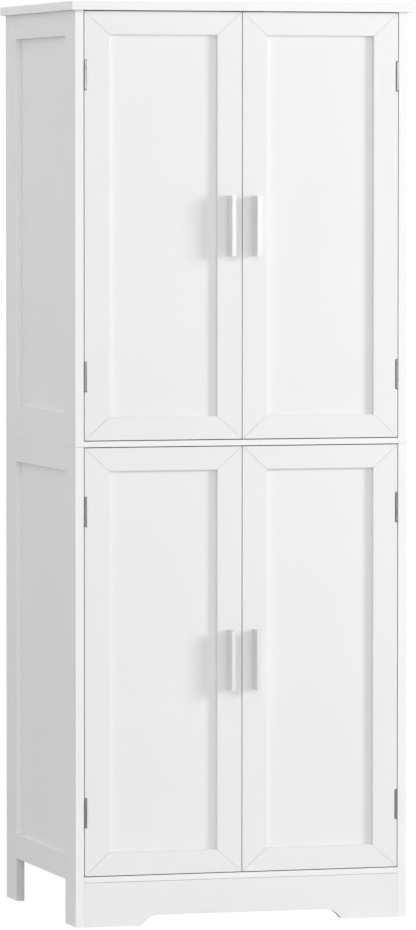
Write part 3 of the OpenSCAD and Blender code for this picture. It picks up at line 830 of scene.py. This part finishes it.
class CABINET_OT_doors(bpy.types.Operator):
    """Finish the mitred door frames and their recessed panels"""
    bl_idname = "cabinet.doors"
    bl_label = "Doors"

    def execute(self, context):
        sizes = context.scene.cabinet_boards
        for node in NODES:
            if node.endswith(("_door_stiles", "_door_rails")):
                along = 2 if node.endswith("_stiles") else 0
                board(node, sizes.joint_arris, banded=False,
                      open_seams=lambda bm: open_mitres(bm, along, sizes.seam))
            elif node.endswith("_door_panel"):
                board(node, sizes.joint_arris, banded=False)
        return {"FINISHED"}


class CABINET_OT_handles(bpy.types.Operator):
    """Finish the bar handles"""
    bl_idname = "cabinet.handles"
    bl_label = "Handles"

    def execute(self, context):
        for node in NODES:
            if node.endswith("_handle"):
                bm = solid_mesh(node)
                soften(bm, HANDLE_ARRIS, HANDLE_EDGE)
                obj = finish_mesh(bm, node + "_bar")
                obj.data.materials.append(finish("satin_aluminium"))
                stands_for(obj, node)
        return {"FINISHED"}


class CABINET_OT_hinges(bpy.types.Operator):
    """Finish the butt hinges: their leaves, knuckles and domed pins"""
    bl_idname = "cabinet.hinges"
    bl_label = "Hinges"

    def execute(self, context):
        easing = context.scene.cabinet_metals.easing
        for node in NODES:
            if node.endswith(("_hinge_leaves", "_frame_leaves")):
                eased(node, "nickel", easing, 0)
        pins = bmesh.new()
        for rod in map(Rod, solids_of("hinge_pins")):
            head_t = rod.depths()[1]
            size = (rod.radius, head_t, PIN_SHARE * rod.radius, rod.length)
            add_copy(pins, drawn_once("pin", lambda: hinge_pin(*size)), placed(*rod.end(False)))
        stands_in_for(pins, "hinge_pins", "nickel", "_set")
        return {"FINISHED"}


class CABINET_OT_screws(bpy.types.Operator):
    """Draw every screw with its thread and cross recess, and ease the strike plates"""
    bl_idname = "cabinet.screws"
    bl_label = "Screws and strike plates"

    def execute(self, context):
        for node in NODES:
            if node.endswith(("_screws", "_door_fixings")):
                screws(node, context.scene.cabinet_metals.easing)
        return {"FINISHED"}


class CABINET_OT_catches(bpy.types.Operator):
    """Finish the magnetic catches, their magnets and the shelf pins"""
    bl_idname = "cabinet.catches"
    bl_label = "Catches and shelf pins"

    def execute(self, context):
        eased("magnetic_catches", "white_plastic", CATCH_ARRIS, FITTING_EDGE)
        eased("catch_magnets", "magnet_plating", MAGNET_ARRIS, FITTING_EDGE)
        eased("shelf_pins", "pin_nickel", context.scene.cabinet_metals.easing, FITTING_EDGE)
        return {"FINISHED"}


class CABINET_OT_joinery(bpy.types.Operator):
    """Draw the fluted dowels, the cam bolts and the cam locks"""
    bl_idname = "cabinet.joinery"
    bl_label = "Dowels and cam fittings"

    def execute(self, context):
        pegs = bmesh.new()
        for rod in map(Rod, solids_of("dowels")):
            size = rounded(rod.radius, rod.length)
            add_copy(pegs, drawn_once(("dowel", *size), lambda: dowel(*size)), placed(*rod.end(False)))
        stands_in_for(pegs, "dowels", "beech", "_set")
        bolts = [Rod(points) for points in solids_of("cam_bolts")]
        locks = [Rod(points) for points in solids_of("cam_locks")]
        bolt_set = bmesh.new()
        lock_set = bmesh.new()
        for bolt in bolts:
            lock = min(locks, key=lambda one: (one.centre - bolt.centre).length)
            from_high, from_low = [(bolt.end(high)[0] - lock.centre).length for high in (True, False)]
            point, inward = bolt.end(from_high >= from_low)
            size = rounded(bolt.radius, bolt.length)
            mesh = drawn_once(("bolt", *size), lambda: cam_bolt(*size, BOLT_GRIP))
            add_copy(bolt_set, mesh, placed(point, inward))
            seen_high = lock.axis == 0 and lock.centre.x < 0
            face, into = lock.end(seen_high)
            depth = abs(bolt.centre[lock.axis] - face[lock.axis])
            drum = rounded(lock.radius, lock.length, depth, bolt.radius)
            mesh = drawn_once(("lock", *drum), lambda: cam_lock(*drum))
            add_copy(lock_set, mesh, placed(face, into, -inward))
        stands_in_for(bolt_set, "cam_bolts", "zinc", "_set")
        stands_in_for(lock_set, "cam_locks", "cast_zinc", "_set")
        return {"FINISHED"}


class CABINET_OT_stage(bpy.types.Operator):
    """Set the floor, the studio light and the camera"""
    bl_idname = "cabinet.stage"
    bl_label = "Stage"

    def execute(self, context):
        settings = context.scene.cabinet_stage
        set_floor()
        set_world(settings)
        aim = Vector((0, LOW.y, KEY_AIM_HEIGHT))
        softbox("Key_softbox", settings.key_place, aim, KEY_SIZE, settings.key_power)
        set_camera(settings)
        return {"FINISHED"}


def set_floor():
    """A wide pale disc under the cabinet, which the camera sees as nearly white."""
    bm = bmesh.new()
    bmesh.ops.create_circle(bm, cap_ends=True, segments=96, radius=FLOOR_RADIUS)
    mesh = bpy.data.meshes.new("Floor")
    bm.to_mesh(mesh)
    bm.free()
    floor = bpy.data.objects.new("Floor", mesh)
    floor.location.z = LOW.z - FLOOR_DROP
    bpy.context.scene.collection.objects.link(floor)
    material = bpy.data.materials.new("Pale_floor")
    material.use_nodes = True
    tree = material.node_tree
    tree.nodes.clear()
    seen = tree.nodes.new("ShaderNodeLightPath")
    pale = tree.nodes.new("ShaderNodeBsdfDiffuse")
    pale.inputs["Color"].default_value = (FLOOR_GREY, FLOOR_GREY, FLOOR_GREY, 1)
    white = tree.nodes.new("ShaderNodeEmission")
    white.inputs["Strength"].default_value = FLOOR_WHITE
    mix = tree.nodes.new("ShaderNodeMixShader")
    share = tree.nodes.new("ShaderNodeMath")
    share.operation = "MULTIPLY"
    share.inputs[1].default_value = FLOOR_WHITE_SHARE
    output = tree.nodes.new("ShaderNodeOutputMaterial")
    tree.links.new(seen.outputs["Is Camera Ray"], share.inputs[0])
    tree.links.new(share.outputs[0], mix.inputs["Fac"])
    tree.links.new(pale.outputs["BSDF"], mix.inputs[1])
    tree.links.new(white.outputs["Emission"], mix.inputs[2])
    tree.links.new(mix.outputs["Shader"], output.inputs["Surface"])
    mesh.materials.append(material)


def glow(tree, direction, turn_full, turn_none, strength):
    """A soft patch of sky light round a direction: full inside one angle, gone outside the other."""
    sky = tree.nodes.new("ShaderNodeTexCoord")
    aim = tree.nodes.new("ShaderNodeVectorMath")
    aim.operation = "DOT_PRODUCT"
    aim.inputs[1].default_value = Vector(direction).normalized()
    patch = tree.nodes.new("ShaderNodeMapRange")
    patch.interpolation_type = "SMOOTHSTEP"
    patch.inputs["From Min"].default_value = math.cos(turn_none)
    patch.inputs["From Max"].default_value = math.cos(turn_full)
    patch.inputs["To Max"].default_value = strength
    tree.links.new(sky.outputs["Generated"], aim.inputs[0])
    tree.links.new(aim.outputs["Value"], patch.inputs["Value"])
    return patch.outputs["Result"]


def set_world(settings):
    """Three broad glows: in front, behind on the left and above. The sky itself shows white."""
    world = bpy.data.worlds.new("Studio")
    world.use_nodes = True
    tree = world.node_tree
    tree.nodes.clear()
    total = None
    for (direction, turn_full, turn_none), strength in (
            (FRONT_PATCH, settings.front_glow),
            (SIDE_PATCH, settings.side_glow),
            (TOP_PATCH, settings.top_glow)):
        patch = glow(tree, direction, math.radians(turn_full), math.radians(turn_none), strength)
        if total is None:
            total = patch
            continue
        both = tree.nodes.new("ShaderNodeMath")
        both.operation = "ADD"
        tree.links.new(total, both.inputs[0])
        tree.links.new(patch, both.inputs[1])
        total = both.outputs[0]
    seen = tree.nodes.new("ShaderNodeLightPath")
    soft = tree.nodes.new("ShaderNodeBackground")
    white = tree.nodes.new("ShaderNodeBackground")
    white.inputs["Strength"].default_value = SKY_WHITE
    mix = tree.nodes.new("ShaderNodeMixShader")
    output = tree.nodes.new("ShaderNodeOutputWorld")
    for node in (soft, white):
        node.inputs["Color"].default_value = (1, 1, 1, 1)
    tree.links.new(total, soft.inputs["Strength"])
    tree.links.new(seen.outputs["Is Camera Ray"], mix.inputs["Fac"])
    tree.links.new(soft.outputs["Background"], mix.inputs[1])
    tree.links.new(white.outputs["Background"], mix.inputs[2])
    tree.links.new(mix.outputs["Shader"], output.inputs["Surface"])
    bpy.context.scene.world = world


def softbox(name, place, aim, size, power):
    """A square area light turned to a point."""
    data = bpy.data.lights.new(name, "AREA")
    data.shape = "RECTANGLE"
    data.size = size
    data.size_y = size
    data.energy = power
    light = bpy.data.objects.new(name, data)
    light.location = place
    light.rotation_euler = (aim - Vector(place)).to_track_quat("-Z", "Y").to_euler()
    light.visible_camera = False
    bpy.context.scene.collection.objects.link(light)


def set_camera(settings):
    """The camera, and plain colour without a film curve."""
    data = bpy.data.cameras.new("Camera")
    data.lens = settings.camera_lens
    data.sensor_width = SENSOR_MM
    data.clip_end = FAR_LIMIT
    camera = bpy.data.objects.new("Camera", data)
    camera.location = settings.camera_place
    camera.rotation_euler = settings.camera_turn
    bpy.context.scene.collection.objects.link(camera)
    bpy.context.scene.camera = camera
    bpy.context.scene.view_settings.view_transform = "Standard"


# ---- Panel and registration ----

STEPS = (
    CABINET_OT_boards,
    CABINET_OT_backs_and_shelves,
    CABINET_OT_doors,
    CABINET_OT_handles,
    CABINET_OT_hinges,
    CABINET_OT_screws,
    CABINET_OT_catches,
    CABINET_OT_joinery,
    CABINET_OT_stage,
)


class CABINET_PT_pieces(bpy.types.Panel):
    """The cabinet's pieces, each made by its own step"""
    bl_idname = "CABINET_PT_pieces"
    bl_label = "Pantry cabinet"
    bl_space_type = "VIEW_3D"
    bl_region_type = "UI"
    bl_category = "Cabinet"

    def draw(self, context):
        for step in STEPS:
            self.layout.operator(step.bl_idname)


CLASSES = (BoardSettings, MetalSettings, StageSettings, *STEPS, CABINET_PT_pieces)


def register():
    for cls in CLASSES:
        bpy.utils.register_class(cls)
    bpy.types.Scene.cabinet_boards = bpy.props.PointerProperty(type=BoardSettings)
    bpy.types.Scene.cabinet_metals = bpy.props.PointerProperty(type=MetalSettings)
    bpy.types.Scene.cabinet_stage = bpy.props.PointerProperty(type=StageSettings)


def unregister():
    del bpy.types.Scene.cabinet_stage
    del bpy.types.Scene.cabinet_metals
    del bpy.types.Scene.cabinet_boards
    for cls in reversed(CLASSES):
        bpy.utils.unregister_class(cls)


def main():
    """Runs every step."""
    register()
    for step in STEPS:
        area, name = step.bl_idname.split(".")
        getattr(getattr(bpy.ops, area), name)()


if __name__ == "__main__":
    main()
